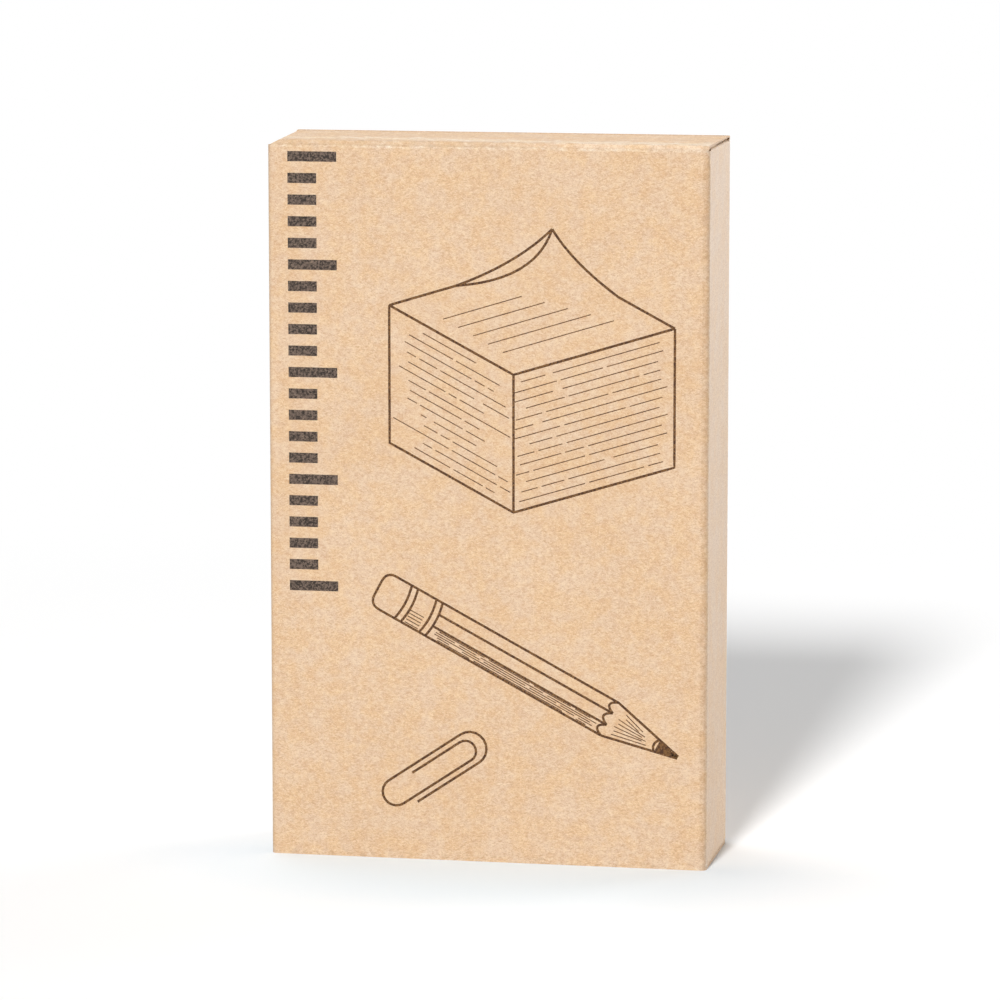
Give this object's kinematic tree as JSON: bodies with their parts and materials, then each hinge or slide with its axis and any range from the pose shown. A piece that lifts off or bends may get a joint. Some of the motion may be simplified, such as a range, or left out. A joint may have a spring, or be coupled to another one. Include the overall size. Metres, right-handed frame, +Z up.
{
  "type": "tuck-end carton with memo pad holder",
  "caption": "Slim upright kraft tuck-end carton with folding closures, tuck flaps and dust flaps, packed with a grooved wooden memo pad holder and its note pad.",
  "frame": {"origin": "middle of the carton's footprint, on the floor", "axes": "+X across the printed front to its right, +Y from the front to the back, +Z up"},
  "size_m": [0.1, 0.0308, 0.1627],
  "materials": {
    "kraft_board": "matt",
    "holder_wood": "oiled",
    "note_paper": "matt",
    "grey_card": "matt"
  },
  "bodies": {
    "carton": {"front_panel": "kraft_board", "back_panel": "kraft_board", "right_side_panel": "kraft_board", "left_side_panel": "kraft_board", "glue_flap": "kraft_board", "holder_base": "holder_wood", "note_pad_sheets": "note_paper", "note_pad_card": "grey_card"},
    "top_closure": {"top_closure_panel": "kraft_board"},
    "top_tuck": {"top_tuck_flap": "kraft_board"},
    "top_left_dust": {"top_left_dust_flap": "kraft_board"},
    "top_right_dust": {"top_right_dust_flap": "kraft_board"},
    "bottom_closure": {"bottom_closure_panel": "kraft_board"},
    "bottom_tuck": {"bottom_tuck_flap": "kraft_board"},
    "bottom_left_dust": {"bottom_left_dust_flap": "kraft_board"},
    "bottom_right_dust": {"bottom_right_dust_flap": "kraft_board"}
  },
  "joints": [
    {"name": "top_closure_fold", "type": "hinge", "parent": "carton", "child": "top_closure", "pos_m": [0, -0.01545, 0.1627], "axis": [1, 0, 0], "range_deg": [0, 240]},
    {"name": "top_tuck_fold", "type": "hinge", "parent": "top_closure", "child": "top_tuck", "pos_m": [0, 0.01445, 0.1627], "axis": [1, 0, 0], "range_deg": [0, 24]},
    {"name": "top_left_dust_fold", "type": "hinge", "parent": "carton", "child": "top_left_dust", "pos_m": [-0.05, 0, 0.162], "axis": [0, -1, 0], "range_deg": [0, 120]},
    {"name": "top_right_dust_fold", "type": "hinge", "parent": "carton", "child": "top_right_dust", "pos_m": [0.05, 0, 0.162], "axis": [0, 1, 0], "range_deg": [0, 120]},
    {"name": "bottom_closure_fold", "type": "hinge", "parent": "carton", "child": "bottom_closure", "pos_m": [0, 0.01545, 0], "axis": [1, 0, 0], "range_deg": [0, 240]},
    {"name": "bottom_tuck_fold", "type": "hinge", "parent": "bottom_closure", "child": "bottom_tuck", "pos_m": [0, -0.01445, 0], "axis": [1, 0, 0], "range_deg": [0, 24]},
    {"name": "bottom_left_dust_fold", "type": "hinge", "parent": "carton", "child": "bottom_left_dust", "pos_m": [-0.05, 0, 0.0007], "axis": [0, 1, 0], "range_deg": [0, 120]},
    {"name": "bottom_right_dust_fold", "type": "hinge", "parent": "carton", "child": "bottom_right_dust", "pos_m": [0.05, 0, 0.0007], "axis": [0, -1, 0], "range_deg": [0, 120]}
  ],
  "couplings": [
    {"joint": "top_tuck_fold", "follows": "top_closure_fold", "ratio": 0.1},
    {"joint": "top_left_dust_fold", "follows": "top_closure_fold", "ratio": 0.5},
    {"joint": "top_right_dust_fold", "follows": "top_closure_fold", "ratio": 0.5},
    {"joint": "bottom_tuck_fold", "follows": "bottom_closure_fold", "ratio": 0.1},
    {"joint": "bottom_left_dust_fold", "follows": "bottom_closure_fold", "ratio": 0.5},
    {"joint": "bottom_right_dust_fold", "follows": "bottom_closure_fold", "ratio": 0.5}
  ]
}
